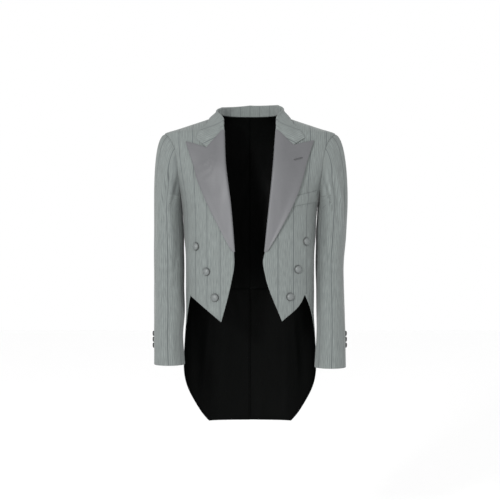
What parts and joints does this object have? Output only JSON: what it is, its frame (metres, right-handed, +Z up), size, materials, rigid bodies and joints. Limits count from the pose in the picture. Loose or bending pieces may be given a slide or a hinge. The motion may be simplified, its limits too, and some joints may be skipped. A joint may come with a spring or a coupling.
{
  "type": "white tie tailcoat",
  "caption": "Tailcoat worn open as a hollow shell, with peaked satin lapels, waist-length fronts and two lined tails.",
  "frame": {"origin": "midway between the two shoulder neck points, where the wearer holds the coat", "axes": "+Z up, -Y out of the front, +X to the wearer's left"},
  "size_m": [0.5427, 0.2781, 0.9094],
  "materials": {
    "striped_wool": "matt wool with fine self stripes",
    "lapel_satin": "soft satin",
    "black_lining": "smooth lining",
    "covered_button": "domed, covered in satin",
    "cuff_button": "gloss"
  },
  "bodies": {
    "root": {"back_button_left": "covered_button", "back_button_right": "covered_button", "back_left": "striped_wool", "back_right": "striped_wool", "breast_welt": "striped_wool", "collar": "striped_wool", "cuff_button_left_1": "cuff_button", "cuff_button_left_2": "cuff_button", "cuff_button_left_3": "cuff_button", "cuff_button_right_1": "cuff_button", "cuff_button_right_2": "cuff_button", "cuff_button_right_3": "cuff_button", "forepart_left": "striped_wool", "forepart_right": "striped_wool", "front_button_left_1": "covered_button", "front_button_left_2": "covered_button", "front_button_left_3": "covered_button", "front_button_right_1": "covered_button", "front_button_right_2": "covered_button", "front_button_right_3": "covered_button", "lapel_left": "lapel_satin", "lapel_right": "lapel_satin", "sidebody_left": "striped_wool", "sidebody_right": "striped_wool", "skirt_left": "striped_wool", "skirt_right": "striped_wool", "sleeve_top_left": "striped_wool", "sleeve_top_right": "striped_wool", "sleeve_under_left": "striped_wool", "sleeve_under_right": "striped_wool", "tail_lining_left": "black_lining", "tail_lining_right": "black_lining"}
  },
  "joints": []
}
